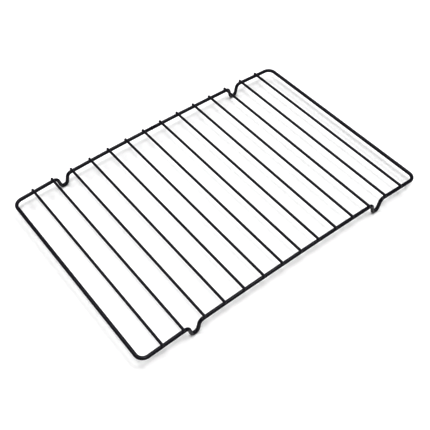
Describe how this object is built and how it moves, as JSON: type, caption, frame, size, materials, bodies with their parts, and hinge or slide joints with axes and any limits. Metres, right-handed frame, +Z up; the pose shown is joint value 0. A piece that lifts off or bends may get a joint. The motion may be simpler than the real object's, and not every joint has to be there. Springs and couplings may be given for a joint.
{
  "type": "cooling rack",
  "caption": "Rectangular wire cooling rack: a bent frame wire with pressed feet, and parallel cross wires spot-welded on top of it, in a satin black non-stick coating.",
  "frame": {"origin": "on the surface that the rack stands on, under the middle of the rack", "axes": "+X along the long sides, +Y across the rack towards the long side with the frame's butt weld, +Z up"},
  "size_m": [0.379, 0.2565, 0.0221],
  "materials": {
    "frame_coating": "satin black non-stick coating on drawn steel wire",
    "cross_wire_coating": "satin black non-stick coating on drawn steel wire",
    "weld_coating": "satin black non-stick coating over spot and butt welds"
  },
  "bodies": {
    "root": {"frame_wire": "frame_coating", "frame_butt_weld": "weld_coating", "front_spot_welds": "weld_coating", "back_spot_welds": "weld_coating", "cross_wire_01": "cross_wire_coating", "cross_wire_02": "cross_wire_coating", "cross_wire_03": "cross_wire_coating", "cross_wire_04": "cross_wire_coating", "cross_wire_05": "cross_wire_coating", "cross_wire_06": "cross_wire_coating", "cross_wire_07": "cross_wire_coating", "cross_wire_08": "cross_wire_coating", "cross_wire_09": "cross_wire_coating", "cross_wire_10": "cross_wire_coating", "cross_wire_11": "cross_wire_coating", "cross_wire_12": "cross_wire_coating", "cross_wire_13": "cross_wire_coating", "cross_wire_14": "cross_wire_coating"}
  },
  "joints": []
}
